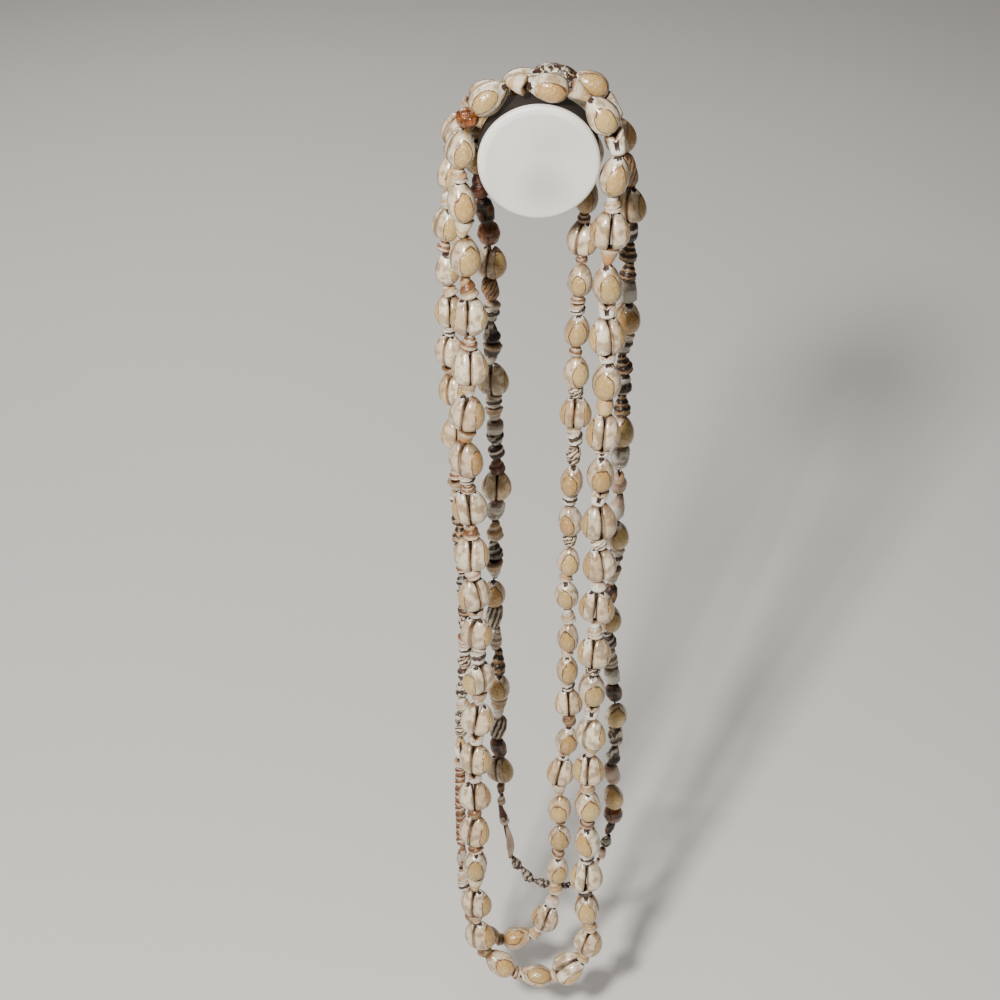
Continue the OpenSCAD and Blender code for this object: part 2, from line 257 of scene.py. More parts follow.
def makeCowrieMaterial():
    # own holds the place on the shell in mm: along it from its upper end, across it, and up from its belly
    f = cowrieFinish
    made, tree, shader = newMaterial("glossyCowrie", 0.3, coat=0.5, coatRough=0.12)
    own = readAttribute(tree, "own")["Vector"]
    patch = readAttribute(tree, "patch")["Vector"]
    look = split(tree, readAttribute(tree, "look")["Vector"])     # warmth, orange, and a seed
    hole = readAttribute(tree, "hole")["Vector"]
    place = split(tree, own)
    spread = join(tree, {2: times(tree, look[2], f["seedStep"])})
    seeded = vectorCalc(tree, "ADD", own, spread)
    wide = noise(tree, seeded, f["cloudGrain"], 1.0)
    middling = noise(tree, seeded, f["blotchGrain"], 1.0)
    fine = noise(tree, seeded, f["fineGrain"], 3.0, 0.6)
    # distance from the middle of the patch, 1 at its ring: mm along the shell, and the angle round its back
    across = calc(tree, "ARCTAN2", place[1], minus(tree, place[2], f["patchAxis"]))
    middle = split(tree, patch)
    # the shell's own girth there, with a narrower upper part
    girth = over(tree, minus(tree, place[0], f["girthMiddle"]), f["girthReach"])
    girth = calc(tree, "SQRT", minus(tree, 1.0, times(tree, girth, girth)))
    across = times(tree, across, girth)
    taper = times(tree, ramp(tree, place[0], 1.0, 10.0, 0.75, 1.0), f["patchWide"])
    away = join(tree, {0: over(tree, minus(tree, place[0], middle[0]), f["patchLong"]),
                       1: over(tree, minus(tree, across, middle[1]), taper)})
    away = over(tree, vectorCalc(tree, "LENGTH", away, output="Value"), middle[2])
    away = plus(tree, away, swing(tree, wide, 0.5))
    inPatch = ramp(tree, away, 0.9, 1.02, 1.0, 0.0)
    ring = ramp(tree, apart(tree, away, 1.0), f["ringWide"] * 0.35, f["ringWide"], 1.0, 0.0)
    ring = times(tree, ring, ramp(tree, noise(tree, seeded, f["ringGrain"], 1.0), 0.34, 0.5, 0.2, 0.9))
    # the flank goes from cream to tan and grey in soft clouds; it browns towards its ends, partly stain and
    # partly painted shade where they nest, and takes painted shade along its belly margins
    flank = blendColour(tree, look[0], f["flank"], f["warmFlank"])
    flank = tint(tree, flank, f["greyFlank"], wide, 0.42, 0.64, 0.0, 0.8)
    flank = tint(tree, flank, f["warmFlank"], middling, 0.48, 0.7, 0.0, 0.5)
    ends = plus(tree, apart(tree, place[0], ownSize[0] / 2), times(tree, fine, 1.8))
    flank = tint(tree, flank, f["stainAndShade"], ends, 8.6, 11.4, 0.0, 0.95)
    # painted shade in the crease along the belly margin, where the two halves of a pair meet
    low = ramp(tree, plus(tree, place[2], times(tree, fine, 0.8)), 0.5, 2.3, 0.95, 0.0)
    low = times(tree, low, ramp(tree, place[2], 0.1, 0.5))
    flank = blendColour(tree, low, flank, f["stainAndShade"])
    inside = blendColour(tree, look[1], f["patch"], f["orangePatch"])
    inside = tint(tree, inside, f["flank"], middling, 0.45, 0.75, 0.0, 0.25)
    inside = tint(tree, inside, f["orangePatch"], away, 0.6, 1.0, 0.0, 0.3)
    base = blendColour(tree, inPatch, flank, inside)
    base = blendColour(tree, ring, base, f["ring"])
    specks = ramp(tree, noise(tree, seeded, f["speckGrain"], 1.0), 0.7, 0.78, 0.0, 0.55)
    base = blendColour(tree, specks, base, f["stainAndShade"])
    # some shells are darker than others all over
    base = blendColour(tree, ramp(tree, look[2], 0.0, 1.0, f["shade"], 0.0), base, f["stainAndShade"], "MULTIPLY")
    # painted shade in the grooves between the teeth beside the slit of the belly, and in the slit itself
    beside = calc(tree, "ABSOLUTE", place[1])
    belly = ramp(tree, place[2], 0.6, 1.3, 1.0, 0.0)
    teeth = waves(tree, place[0], 1.0 / f["toothStep"])
    teeth = times(tree, ramp(tree, teeth, -0.2, 0.4), ramp(tree, beside, 1.6, 3.2, 0.55, 0.0))
    teeth = times(tree, teeth, belly)
    base = blendColour(tree, teeth, base, f["slitShade"])
    slitShade = times(tree, ramp(tree, beside, 0.4, 1.1, 1.0, 0.0), belly)
    base = blendColour(tree, slitShade, base, f["slitShade"])
    # hole broken through the upper end: a jagged mouth painted dark as the shade inside it, with a pale
    # broken rim
    edge = vectorCalc(tree, "MULTIPLY", vectorCalc(tree, "SUBTRACT", own, hole), f["holeSquash"])
    edge = over(tree, vectorCalc(tree, "LENGTH", edge, output="Value"), readAttribute(tree, "bite")["Fac"])
    edge = plus(tree, edge, swing(tree, noise(tree, seeded, f["jagGrain"], 2.0, 0.7), 1.7))
    opening = ramp(tree, edge, 0.86, 1.02, 1.0, 0.0)
    base = tint(tree, base, f["rim"], edge, 1.05, 1.8, 0.9, 0.0)
    setColour(tree, shader, blendColour(tree, opening, base, f["hole"]))
    # relief: the patch stands up and is uneven, the ring, the hole and the teeth are cut in
    height = times(tree, fine, plus(tree, times(tree, inPatch, 0.12), 0.12))
    height = plus(tree, height, times(tree, middling, plus(tree, times(tree, inPatch, 0.9), 0.5)))
    height = plus(tree, height, times(tree, inPatch, 0.5))
    for cut, depth in ((ring, 0.35), (opening, 1.4), (teeth, 0.5)):
        height = minus(tree, height, times(tree, cut, depth))
    setBump(tree, shader, height, 0.8, f["bump"])
    rough = ramp(tree, fine, 0.3, 0.7, 0.15, 0.3)
    setRough(tree, shader, calc(tree, "ADD", rough, times(tree, opening, 0.65), clamp=True))
    return made


smallFinish = {"end": tone(92, 62, 40), "pit": tone(46, 29, 20), "cloudGrain": 420.0, "fineGrain": 1500.0,
               "bandEdge": 0.22, "middle": 0.43, "growthLines": 22.0, "bump": 0.0003}


def makeSmallShellMaterial():
    # the light and dark colour, the bands and their slant come from each shell's own attributes
    f = smallFinish
    made, tree, shader = newMaterial("bandedShell", 0.36, coat=0.2, coatRough=0.2)
    light = readAttribute(tree, "lightTone")["Color"]
    dark = readAttribute(tree, "darkTone")["Color"]
    pattern = split(tree, readAttribute(tree, "pattern")["Vector"])    # bands, slant, wobble
    cover = readAttribute(tree, "cover")["Fac"]
    grid = split(tree, addNode(tree, "ShaderNodeUVMap", uv_map="shellGrid").outputs[0])
    coords = objectPlace(tree)
    wide = noise(tree, coords, f["cloudGrain"], 2.0)
    fine = noise(tree, coords, f["fineGrain"], 3.0, 0.6)
    turn = plus(tree, times(tree, grid[0], pattern[0]), times(tree, grid[1], pattern[1]))
    turn = plus(tree, turn, swing(tree, wide, pattern[2]))
    mask = ramp(tree, minus(tree, waves(tree, turn, 1.0), cover), -f["bandEdge"], f["bandEdge"])
    base = blendColour(tree, mask, light, dark)
    browner = blendColour(tree, 0.6, base, colours["brown"])
    base = tint(tree, base, browner, fine, 0.45, 0.75, 0.0, 0.45)
    base = tint(tree, base, colours["white"], wide, 0.55, 0.8, 0.0, 0.25)
    # painted shade towards both ends of the outer wall, where the small shells nest against their
    # neighbours
    ends = plus(tree, apart(tree, grid[0], f["middle"]), times(tree, fine, 0.12))
    base = tint(tree, base, f["end"], ends, 0.34, 0.5, 0.0, 0.75)
    # painted shade in the bore and in the slot, where the pit field is low
    pit = plus(tree, readAttribute(tree, "pit")["Fac"], swing(tree, fine, 0.5))
    pit = ramp(tree, pit, 0.85, 1.1, 1.0, 0.0)
    setColour(tree, shader, blendColour(tree, pit, base, f["pit"]))
    height = plus(tree, times(tree, waves(tree, grid[0], f["growthLines"]), 0.15), times(tree, fine, 0.7))
    for cut, depth in ((mask, 0.25), (pit, 1.5)):
        height = minus(tree, height, times(tree, cut, depth))
    setBump(tree, shader, height, 0.7, f["bump"])
    setRough(tree, shader, ramp(tree, fine, 0.3, 0.7, 0.28, 0.5))
    return made


amberFinish = {"dark": tone(70, 35, 17), "light": tone(158, 92, 44), "crack": tone(54, 28, 16),
               "cloudGrain": 330.0, "crackGrain": 520.0, "glow": 0.12, "glowReach": (0.004, 0.0018, 0.0006),
               "bump": 0.0004}


def makeAmberMaterial():
    f = amberFinish
    made, tree, shader = newMaterial("amberBead", 0.16, coat=0.4, coatRough=0.05, specular=0.6)
    coords = objectPlace(tree)
    cloud = noise(tree, coords, f["cloudGrain"], 3.0, 0.6)
    crack = addNode(tree, "ShaderNodeTexVoronoi", {"Vector": coords, "Scale": f["crackGrain"]},
                    feature="DISTANCE_TO_EDGE").outputs["Distance"]
    base = tint(tree, f["dark"], f["light"], cloud, 0.35, 0.65)
    setColour(tree, shader, tint(tree, base, f["crack"], crack, 0.0, 0.08, 0.7, 0.0))
    shader.inputs["Subsurface Weight"].default_value = f["glow"]
    shader.inputs["Subsurface Radius"].default_value = f["glowReach"]
    shader.inputs["Subsurface Scale"].default_value = 1.0
    height = plus(tree, cloud, times(tree, ramp(tree, crack, 0.0, 0.1), 0.5))
    setBump(tree, shader, height, 0.6, f["bump"])
    return made


threadFinish = {"dark": tone(48, 34, 24), "light": tone(98, 74, 52), "grain": 2600.0, "bump": 0.0002}


def makeThreadMaterial():
    f = threadFinish
    made, tree, shader = newMaterial("cottonThread", 0.85, specular=0.25)
    fibre = noise(tree, objectPlace(tree), f["grain"], 3.0, 0.65)
    setColour(tree, shader, tint(tree, f["dark"], f["light"], fibre, 0.3, 0.7))
    setBump(tree, shader, fibre, 0.6, f["bump"])
    return made


pegFinish = {
    "face": tone(224, 223, 216), "cloud": tone(208, 208, 203), "grain": tone(196, 195, 189),
    "grey": tone(178, 179, 180), "edge": tone(246, 246, 242), "body": tone(34, 21, 14),
    "cloudGrain": 26.0, "fineGrain": 900.0, "shadeMiddle": (0.002, -0.062, -0.012), "shadeReach": 0.018,
    "highlightRadius": (0.0252, 0.0264), "shadedBodyFrom": (-0.0592, -0.0588), "bump": 0.0001,
}


def makePegMaterial():
    f = pegFinish
    made, tree, shader = newMaterial("satinWhitePeg", 0.42, specular=0.4)
    coords = objectPlace(tree)
    place = split(tree, coords)
    cloud = noise(tree, coords, f["cloudGrain"], 3.0)
    grain = noise(tree, coords, f["fineGrain"], 2.0)
    base = tint(tree, f["face"], f["cloud"], cloud, 0.35, 0.7)
    base = tint(tree, base, f["grain"], grain, 0.5, 0.8, 0.0, 0.25)
    # painted shade as a soft grey cloud low on the face, and a painted highlight on the rounded edge
    # towards its top left
    near = vectorCalc(tree, "DISTANCE", coords, f["shadeMiddle"], output="Value")
    base = tint(tree, base, f["grey"], near, 0.0, f["shadeReach"], 0.65, 0.0)
    radius = plus(tree, times(tree, place[0], place[0]), times(tree, place[2], place[2]))
    radius = calc(tree, "SQRT", radius)
    lit = minus(tree, times(tree, place[2], 0.85), times(tree, place[0], 0.5))
    # painted highlight on the rounded edge, strongest towards the top left
    edge = times(tree, ramp(tree, radius, *f["highlightRadius"]), ramp(tree, lit, -0.002, 0.02, 0.0, 0.9))
    base = blendColour(tree, edge, base, f["edge"])
    # the body behind the white cap is painted dull dark brown as shade behind the disc
    shadedBody = ramp(tree, place[1], *f["shadedBodyFrom"])
    setColour(tree, shader, blendColour(tree, shadedBody, base, f["body"]))
    setBump(tree, shader, grain, 0.25, f["bump"])
    setRough(tree, shader, plus(tree, ramp(tree, cloud, 0.3, 0.7, 0.38, 0.5), times(tree, shadedBody, 0.5)))
    return made


floorSetup = {"size": 4.0, "drop": 0.05, "light": tone(224, 222, 218), "dark": tone(216, 214, 210),
              "grain": 3.0}


def makeFloorMaterial():
    f = floorSetup
    made, tree, shader = newMaterial("paleFloor", 0.8, specular=0.2)
    cloud = noise(tree, objectPlace(tree), f["grain"], 2.0)
    setColour(tree, shader, tint(tree, f["light"], f["dark"], cloud, 0.3, 0.7, 0.0, 0.25))
    return made


cowrieMaterial = makeCowrieMaterial()
smallShellMaterial = makeSmallShellMaterial()
amberMaterial = makeAmberMaterial()
threadMaterial = makeThreadMaterial()
pegMaterial = makePegMaterial()
print("materials are made")


# meshes
def gridFaces(rows, cols, closed):
    # quads of a grid whose columns run round; closed joins its last row to its first
    r = np.arange(rows if closed else rows - 1)[:, None]
    c = np.arange(cols)[None, :]
    after = (r + 1) % rows
    return np.stack(np.broadcast_arrays(r * cols + c, r * cols + (c + 1) % cols,
                                        after * cols + (c + 1) % cols, after * cols + c), -1).reshape(-1, 4)


def gridCorners(rows, cols):
    # where each corner of the closed grid's quads stands on it: 0 to 1 along and 0 to 1 round
    r = np.arange(rows)[:, None]
    c = np.arange(cols)[None, :]
    r0, r1 = np.broadcast_arrays(r / rows, (r + 1) / rows)
    quad = [np.stack(np.broadcast_arrays(a, b), -1) for a, b in
            ((r0, c / cols), (r0, (c + 1) / cols), (r1, (c + 1) / cols), (r1, c / cols))]
    return np.stack(quad, 2).reshape(-1, 2)


def enclosed(verts, faces):
    # volume inside closed faces, from the fans of their corners; below zero where they wind inwards
    a = verts[faces[:, 0]]
    total = 0.0
    for k in range(1, faces.shape[1] - 1):
        total += np.einsum("ij,ij->i", a, np.cross(verts[faces[:, k]], verts[faces[:, k + 1]])).sum() / 6.0
    return total


def buildMesh(name, verts, faceSets, material, attributes=None, corners=None):
    # verts in mm; faceSets are arrays of quads or triangles
    mesh = bpy.data.meshes.new(name)
    loops = np.concatenate([f.ravel() for f in faceSets])
    totals = np.concatenate([np.full(len(f), f.shape[1]) for f in faceSets])
    mesh.vertices.add(len(verts))
    mesh.vertices.foreach_set("co", (verts * mm).astype(np.float32).ravel())
    mesh.loops.add(len(loops))
    mesh.loops.foreach_set("vertex_index", loops.astype(np.int32))
    mesh.polygons.add(len(totals))
    mesh.polygons.foreach_set("loop_start", (np.cumsum(totals) - totals).astype(np.int32))
    mesh.polygons.foreach_set("loop_total", totals.astype(np.int32))
    mesh.polygons.foreach_set("use_smooth", np.ones(len(totals), dtype=bool))
    mesh.update(calc_edges=True)
    for key, values in (attributes or {}).items():
        kind, field = {1: ("FLOAT", "value"), 3: ("FLOAT_VECTOR", "vector"),
                       4: ("FLOAT_COLOR", "color")}[values.shape[-1]]
        made = mesh.attributes.new(key, kind, "POINT")
        made.data.foreach_set(field, values.astype(np.float32).ravel())
    if corners is not None:
        layer = mesh.uv_layers.new(name="shellGrid")
        layer.data.foreach_set("uv", corners.astype(np.float32).ravel())
    mesh.materials.append(material)
    mesh.validate()
    obj = bpy.data.objects.new(name, mesh)
    bpy.context.collection.objects.link(obj)
    return obj


def settle(obj, slotName, *nodes):
    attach(obj, "root")
    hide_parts(*nodes)


# the three loops: a route, and what is strung along it
# columns of a chart: shells in the cluster, its turn round the thread (0 side by side, 90 one before the
# other), length of what follows, and the small shells there
frontLoop = {
    "depth": 7.0, "size": (21.6, 15.0, 9.5), "smallRadius": 4.7,
    "route": [
        (4, 38), (-17, 37), (-34, 22.5), (-38.9, 2), (-38, -18.5), (-36, -53.5), (-34.5, -88),
        (-34, -116), (-36, -143), (-37, -172), (-34.5, -203), (-34, -233), (-32.5, -263), (-31, -293),
        (-30.5, -323), (-32, -353), (-33.5, -383), (-33.5, -428), (-33.5, -468), (-33, -503),
        (-29, -527), (-16, -543), (3, -551.5), (20, -547.5), (32.5, -534.5), (36.5, -513), (32.5, -485),
        (33, -440), (32, -400), (33.5, -360), (33, -325), (34, -280), (35, -240), (34, -200), (35, -155),
        (36, -120), (35, -90), (35, -55), (36.5, -20), (38.2, 2), (34.3, 18.8), (22, 32.5)],
    "chart": [
        (1, 98, 8, ["notched"]), (2, 118, 9, ["amber"]), (2, 68, 6, ["tanSnail"]),
        (2, 84, 8, ["notched"]), (2, 78, 12, ["brownSnail"]), (2, 4, 7, ["ringed"]), (2, -6, 6, ["cup"]),
        (2, 20, 6, ["orangeCup"]), (2, 30, 8, ["striped", "ringed"]), (2, 0, 8, ["brownSnail"]),
        (2, 6, 5, ["pinkBarrel"]), (2, -30, 4, ["eared"]), (2, 35, 10, ["striped"]),
        (2, -35, 7, ["cup"]), (2, 12, 7, ["eared"]), (2, 18, 6, ["eared"]), (2, 0, 5, ["oliveSnail"]),
        (2, 30, 4, ["brownSnail"]), (2, 88, 9, ["notched"]), (2, 20, 5, ["cup"]),
        (2, 30, 6, ["oliveSnail"]), (2, 62, 4, ["ringed"]), (1, 62, 3, ["pinkBarrel"]),
        (2, 58, 4, ["tanSnail"]), (2, 30, 7, ["tanSnail"]), (2, 88, 4, ["darkBand"]),
        (2, 0, 7, ["striped"]), (2, 90, 5, ["ringed"]), (2, 78, 4, ["tanSnail"]), (2, 10, 5, ["cup"]),
        (2, 40, 10, ["slotted"]), (2, 90, 4, ["squiggle"]), (2, 10, 9, ["paleSnail"]),
        (2, 10, 6, ["whiteCone"]), (2, -20, 6, ["dotted"]), (2, -15, 9, ["slotted"]),
        (1, 90, 3, ["slotted"]), (2, 0, 9, ["yellowBead"]), (2, 84, 4, ["eared"]),
        (2, -20, 8, ["slotted"]), (2, 84, 7, ["orangeCup"]), (2, 0, 8, ["paleSnail"]),
        (2, 100, 12, ["slotted"]), (1, 92, 9, ["notched"])],
}
leftLoop = {
    "depth": 32.0, "size": (19.44, 13.5, 8.55), "smallRadius": 4.35,
    "route": [
        (-2, 25.7), (-20, 25.5), (-33, 17.5), (-41, 3), (-45, -19), (-44.5, -43), (-47.5, -68),
        (-43.5, -95), (-45.5, -118), (-43.5, -142), (-41.5, -168), (-42.5, -208), (-40, -253),
        (-38.5, -309), (-41, -367), (-42.5, -423), (-42, -460), (-41, -495), (-38, -520), (-31, -536),
        (-18, -544), (0, -541), (11, -524), (15, -500), (17, -470), (17.5, -445), (16.5, -422),
        (18, -398), (21.5, -372), (20.5, -347), (19.5, -320), (20, -297), (18, -270), (20, -247),
        (19, -220), (20.5, -194), (21.5, -160), (21, -130), (21, -100), (22.5, -72), (23, -48),
        (26, -22), (26, 0), (21, 16), (11.8, 24.1)],
    "chart": [
        (2, 90, 4, ["bit"]), (2, 60, 6, ["bit"]), (2, 60, 3, ["bit"]), (1, 60, 9, ["paleSnail"]),
        (2, 65, 5, ["bit"]), (1, 60, 6, ["tanSnail"]), (2, 0, 4, ["bit"]), (2, 30, 4, ["bit"]),
        (2, 30, 7, ["paleSnail"]), (2, 0, 360, ["fine"]), (1, 90, 4, ["bit"]), (2, 115, 8, ["tanSnail"]),
        (2, 10, 23, ["whiteCone", "tanSnail"]), (1, 90, 7, ["ringed"]), (1, 80, 3, ["bit"]),
        (1, 90, 8, ["notched"]), (2, 20, 6, ["slotted"]), (1, 80, 7, ["oliveSnail"]),
        (2, 0, 6, ["striped"]), (1, 90, 3, ["bit"]), (1, 80, 10, ["paleSnail"]), (1, 90, 3, ["bit"]),
        (1, 80, 8, ["spottedSnail"]), (1, 90, 6, ["striped"]), (1, 90, 23, ["spottedSnail", "striped"]),
        (2, 10, 6, ["spottedSnail"]), (1, 85, 5, ["bit"]), (1, 90, 10, ["striped", "ringed"]),
        (1, 80, 3, ["bit"]), (2, 30, 5, ["bit"]), (1, 100, 5, ["bit"]), (2, 80, 5, ["bit"]),
        (1, 90, 5, ["bit"])],
    "fineRadius": 4.2,
    "fine": [
        ("striped", 11), ("ringed", 9), ("cup", 7), ("striped", 10), ("banded", 12), ("banded", 12),
        ("checked", 12), ("ringed", 8), ("darkSnail", 10), ("spottedSnail", 9), ("banded", 11),
        ("checked", 10), ("brownSnail", 9), ("striped", 9), ("spottedSnail", 10), ("darkBand", 8),
        ("checked", 12), ("paleSnail", 9), ("checked", 12), ("spottedSnail", 9), ("lens", 17),
        ("striped", 7), ("stack", 5), ("stack", 5), ("stack", 5), ("stack", 5), ("stack", 5), ("stack", 5),
        ("stack", 5), ("stack", 5), ("stack", 5), ("stack", 5), ("stack", 5), ("stack", 5),
        ("greySpindle", 18), ("paleSnail", 11), ("striped", 9), ("greySpindle", 15), ("oliveSnail", 14)],
}
rightLoop = {
    "depth": 49.5, "size": (19.44, 13.5, 8.55), "smallRadius": 5.0,
    "route": [
        (27, 22), (15.5, 26), (4, 26.5), (-8, 25.2), (-18.7, 17.9), (-27, 5), (-31, -11), (-30.5, -29),
        (-27, -45), (-24.5, -60), (-23.5, -75), (-24, -95), (-23.5, -120), (-23, -144), (-22, -165),
        (-22, -190), (-20, -212), (-22.5, -240), (-23, -262), (-22, -284), (-23, -310), (-21.5, -335),
        (-18.5, -352), (-21, -380), (-20, -405), (-18.5, -425), (-17.5, -450), (-15, -475), (-8, -498),
        (4, -511), (20, -515), (34, -507), (44, -489), (48.5, -467), (51, -443), (45.5, -413),
        (50.5, -382), (46, -350), (43, -310), (44, -280), (47, -249), (43.5, -215), (48, -180),
        (43.5, -145), (48.5, -109), (46, -78), (48, -45), (45.5, -23), (41, -5), (34.5, 11.5)],
    "chart": [
        (2, 60, 18, ["squiggle"]), (1, 95, 5, ["bit"]), (2, 70, 5, ["bit"]),
        (1, 80, 28, ["redSnail", "darkHoled"]), (0, 0, 13, ["amber"]),
        (2, 20, 50, ["netted", "striped", "darkRidge", "toothed"]),
        (2, 10, 48, ["striped", "cup", "whiteRing", "ridged", "darkBand", "redSnail"]),
        (2, 0, 52, ["paleLump", "tanSnail", "darkSnail", "cup"]),
        (1, 90, 48, ["ribbed", "twig", "banded"]), (1, 90, 44, ["cup", "ribbed", "darkHoled"]),
        (2, 20, 170, ["fine"]), (0, 0, 12, ["amber"]),
        (1, 90, 44, ["pinkBarrel", "darkRidge", "checked"]),
        (1, 80, 51, ["darkHoled", "whiteRing", "paleSnail", "darkSnail"]),
        (2, 50, 38, ["darkHoled", "cup", "striped"]),
        (1, 80, 49, ["whiteCone", "pinkConch", "paleLump"]),
        (1, 90, 50, ["banded", "darkBand", "banded", "striped"]),
        (2, 70, 45, ["whiteRing", "banded", "banded", "darkBand"]), (2, 20, 19, ["netted"]),
        (2, 30, 13, ["holed"])],
    "fineRadius": 2.8,
    "fine": [
        ("oliveSnail", 9), ("paleSnail", 9), ("dottedCone", 15), ("longPink", 26), ("silverTwist", 11),
        ("silverTwist", 12), ("silverTwist", 11), ("silverTwist", 12), ("silverTwist", 10),
        ("longPink", 18), ("pinkBarrel", 9), ("silverTwist", 11), ("darkHoled", 10)],
}


stretchPoints = 8        # points of the curve from one point of a route to the next


def smoothLine(route):
    # the curve from b to c through four neighbours a, b, c and d:
    # half of 2b + (c-a)t + (2a-5b+4c-d)t^2 + (3b-a-3c+d)t^3
    b = np.array(route, dtype=float)
    a, c, d = np.roll(b, 1, 0), np.roll(b, -1, 0), np.roll(b, -2, 0)
    t = (np.arange(stretchPoints) / stretchPoints)[None, :, None]
    a, b, c, d = (p[:, None, :] for p in (a, b, c, d))
    square = 2 * a - 5 * b + 4 * c - d
    cube = 3 * b - a - 3 * c + d
    line = 0.5 * (2 * b + (c - a) * t + square * t ** 2 + cube * t ** 3)
    line = line.reshape(-1, 2)
    return np.vstack([line, line[:1]])


def layOut(loop):
    # the gaps share what the clusters leave of the loop's length
    loop["line"] = smoothLine(loop["route"])
    steps = np.linalg.norm(np.diff(loop["line"], axis=0), axis=1)
    loop["run"] = np.concatenate([[0.0], np.cumsum(steps)])
    loop["whole"] = loop["run"][-1]
    loop["chord"] = loop["size"][0] + 2 * clearance
    shells = np.array([row[0] for row in loop["chart"]])
    gaps = np.array([row[2] for row in loop["chart"]], dtype=float)
    loop["taken"] = np.where(shells > 0, loop["chord"], 0.0)
    share = (loop["whole"] - loop["taken"].sum()) / gaps.sum()
    ends = np.cumsum(loop["taken"] + gaps * share)
    loop["starts"] = -loop["chord"] / 2 + np.concatenate([[0.0], ends])


def at(loop, s):
    # points of the loop at lengths s along it
    m = np.mod(s, loop["whole"])
    x = np.interp(m, loop["run"], loop["line"][:, 0])
    z = np.interp(m, loop["run"], loop["line"][:, 1])
    return np.stack([x, np.full_like(x, loop["depth"] - pegReach), z], -1)


def unit(v):
    return v / np.linalg.norm(v, axis=-1, keepdims=True)


for loop in (frontLoop, leftLoop, rightLoop):
    layOut(loop)
print("loops are laid out", [round(float(loop["whole"])) for loop in (frontLoop, leftLoop, rightLoop)])


# cowries: their shape as parts of length, width and height, and how they differ from each other
cowrieShape = {
    "rings": 19, "backPoints": 13, "belly": (0.45, 0.34, 0.22, 0.12, 0.06, 0.0), "widest": 0.6,
    "girthPower": 0.92, "backPower": 0.86, "margin": 0.055, "marginPower": 0.3,
    "slitDeep": 0.09, "slitWide": 0.06, "endRise": 0.26, "endSlope": 0.03,
}
cowrieSpread = {
    "sizes": ((0.95, 1.0), (0.91, 1.05), (0.94, 1.03)), "lean": 0.35, "lift": 0.06,
    "openAbove": (0.5, 1.5), "openBelow": (0.0, 0.9), "forked": 2.7, "mostAskew": 4.0,
    "patchMiddle": (11.4, 13.4), "patchTurn": 0.2, "mostPatchTurn": 0.42,
}
cowrieHole = {
    "along": (0.0, 0.025), "jitter": 0.12, "mostTurn": 0.75, "frontTurn": 0.7,
    "frontBite": (1.9, 2.9), "sideBite": (1.2, 1.9), "sidePlain": 0.6, "farAway": 40.0,
    "girthAt": (0.0, 0.01, 0.03, 0.07, 0.12), "girth": (0.0, 0.2, 0.34, 0.52, 0.67), "tipUp": 2.9,
    "backLow": 0.12, "reach": 1.3, "dent": 0.7,
}


def cowrieGrid():
    # girth of a slightly skewed ellipse along the shell; a round back and a flat, slit belly round it
    c = cowrieShape
    n = c["rings"]
    part = 0.5 - 0.5 * np.cos(np.pi * np.arange(1, n + 1) / (n + 1))
    skew = part ** (math.log(0.5) / math.log(c["widest"]))
    girth = np.sqrt(np.clip(1.0 - (2.0 * skew - 1.0) ** 2, 0.0, 1.0)) ** c["girthPower"]
    arc = np.radians(np.linspace(0.0, 180.0, c["backPoints"]))
    low = np.array(c["belly"])
    low = np.concatenate([-low, low[-2::-1]])
    margin = c["margin"]
    dip = margin * (1.0 - (1.0 - (2.0 * low) ** 2) ** c["marginPower"])
    dip = dip + c["slitDeep"] * np.exp(-(low / c["slitWide"]) ** 2)
    across = np.concatenate([0.5 * np.cos(arc), low])
    up = np.concatenate([margin + (1.0 - margin) * np.sin(arc) ** c["backPower"], dip])
    across = across[None, :] * girth[:, None]
    slim = 1.0 - girth[:, None]
    up = up[None, :] * girth[:, None] + c["endRise"] * slim ** 2 + c["endSlope"] * slim
    along = np.broadcast_to(part[:, None], up.shape)
    body = np.stack([along, across, up], -1).reshape(-1, 3)
    tip = c["endRise"] + c["endSlope"]
    return np.vstack([body, [[0.0, 0.0, tip], [1.0, 0.0, tip]]]), n, len(low) + len(arc)


def cowrieFaces(rings, around):
    # quads of the body, and the fans that close its upper and lower end
    c = np.arange(around)
    after = (c + 1) % around
    lastRing = (rings - 1) * around
    upper = np.stack([np.full(around, rings * around), after, c], -1)
    lower = np.stack([np.full(around, rings * around + 1), lastRing + c, lastRing + after], -1)
    return gridFaces(rings, around, False), np.vstack([upper, lower])


def cowriePlaces(loop):
    # for each shell its cluster, whether it is the second there, its middle, and its ways along, to the
    # side and out
    index = [(i, k) for i, row in enumerate(loop["chart"]) for k in range(row[0])]
    cluster = np.array([i for i, _ in index])
    second = np.array([k for _, k in index])
    turn = np.radians([loop["chart"][i][1] + 180.0 * k for i, k in index])
    a = at(loop, loop["starts"][cluster])
    b = at(loop, loop["starts"][cluster] + loop["chord"])
    run = unit(b - a)
    along = np.where(run[:, 2:3] > 0, -run, run)
    flat = np.cross(along, toBack)
    out = flat * np.cos(turn)[:, None] - toBack * np.sin(turn)[:, None]
    return cluster, second, (a + b) / 2, along, np.cross(out, along), out


